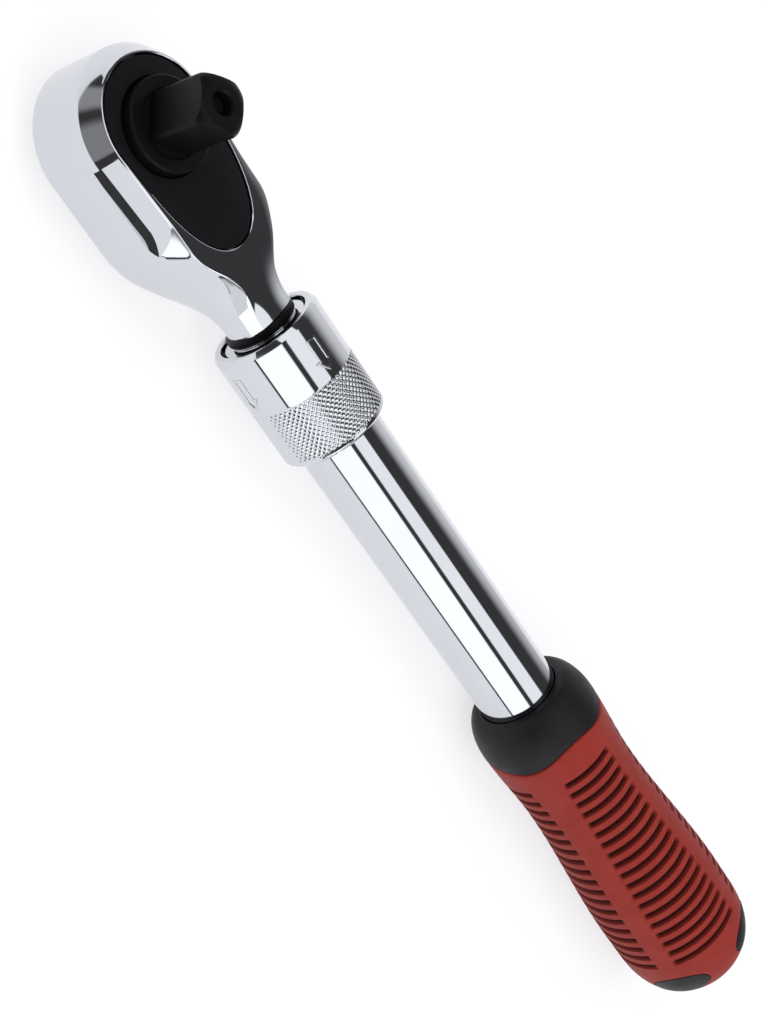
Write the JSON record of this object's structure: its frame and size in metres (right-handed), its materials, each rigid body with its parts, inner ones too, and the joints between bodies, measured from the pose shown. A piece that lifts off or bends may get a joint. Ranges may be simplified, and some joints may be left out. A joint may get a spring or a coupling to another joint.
{
  "type": "extendable ratchet",
  "caption": "Pear-head ratchet with a square drive; its grooved bar slides in a tubular handle, held by a pull-back ball-lock collar, with a ribbed two-part grip.",
  "frame": {"origin": "under the middle of the closed ratchet's bounding box, at the height of the grip's underside", "axes": "+X along the handle from the head to the grip, +Z along the drive axis, from the head's back to the square"},
  "size_m": [0.35, 0.0434, 0.0574],
  "materials": {
    "chrome_steel": "polished chrome plate",
    "black_steel": "satin black oxide",
    "bright_steel": "plain hardened steel",
    "black_plastic": "fine moulded grain",
    "red_rubber": "matt soft-touch"
  },
  "bodies": {
    "handle": {"handle_tube": "chrome_steel", "front_bush": "chrome_steel", "collar_ring": "black_steel", "collar_spring": "bright_steel", "grip_core": "black_plastic", "grip_sleeve": "red_rubber"},
    "head": {"head_body": "chrome_steel", "cover_plate": "black_steel", "pawl_pin": "bright_steel", "bar_stop": "bright_steel", "bar_stop_clip": "bright_steel"},
    "drive": {"drive_gear": "black_steel", "release_spring": "bright_steel"},
    "release": {"release_pin": "black_steel"},
    "detent": {"detent_ball": "bright_steel"},
    "lever": {"reversing_lever": "black_steel", "lever_plunger": "bright_steel", "lever_spring": "bright_steel", "lever_clip": "bright_steel"},
    "pawl": {"pawl": "bright_steel"},
    "collar": {"lock_collar": "chrome_steel"},
    "ball_top": {"lock_ball_top": "bright_steel"},
    "ball_bottom": {"lock_ball_bottom": "bright_steel"}
  },
  "joints": [
    {"name": "head_slide", "type": "slide", "parent": "handle", "child": "head", "axis": [-1, 0, 0], "range_m": [0, 0.138]},
    {"name": "drive_spin", "type": "hinge", "parent": "head", "child": "drive", "pos_m": [-0.1524, 0, 0.0217], "axis": [0, 0, 1], "continuous": true},
    {"name": "release_press", "type": "slide", "parent": "drive", "child": "release", "axis": [0, 0, 1], "range_m": [0, 0.0025], "stiffness_N_per_m": 400, "springref_m": -0.003, "deforming": ["release_spring"]},
    {"name": "detent_retract", "type": "slide", "parent": "drive", "child": "detent", "axis": [-0.7615, -0.6481, 0], "range_m": [0, 0.001]},
    {"name": "lever_swing", "type": "hinge", "parent": "head", "child": "lever", "pos_m": [-0.1239, 0, 0.0217], "axis": [0, 0, -1], "range_deg": [0, 40]},
    {"name": "pawl_rock", "type": "hinge", "parent": "head", "child": "pawl", "pos_m": [-0.1325, 0, 0.0217], "axis": [0, 0, -1], "range_deg": [-9, 0]},
    {"name": "collar_pull", "type": "slide", "parent": "handle", "child": "collar", "axis": [1, 0, 0], "range_m": [0, 0.006], "stiffness_N_per_m": 1500, "springref_m": -0.004, "deforming": ["collar_spring"]},
    {"name": "ball_lift_top", "type": "slide", "parent": "handle", "child": "ball_top", "axis": [0, 0, 1], "range_m": [0, 0.00135]},
    {"name": "ball_lift_bottom", "type": "slide", "parent": "handle", "child": "ball_bottom", "axis": [0, 0, -1], "range_m": [0, 0.00135]}
  ],
  "couplings": [
    {"joint": "detent_retract", "follows": "release_press", "ratio": 0.4},
    {"joint": "pawl_rock", "follows": "lever_swing", "ratio": -0.225},
    {"joint": "ball_lift_top", "follows": "collar_pull", "ratio": 0.225},
    {"joint": "ball_lift_bottom", "follows": "collar_pull", "ratio": 0.225}
  ]
}
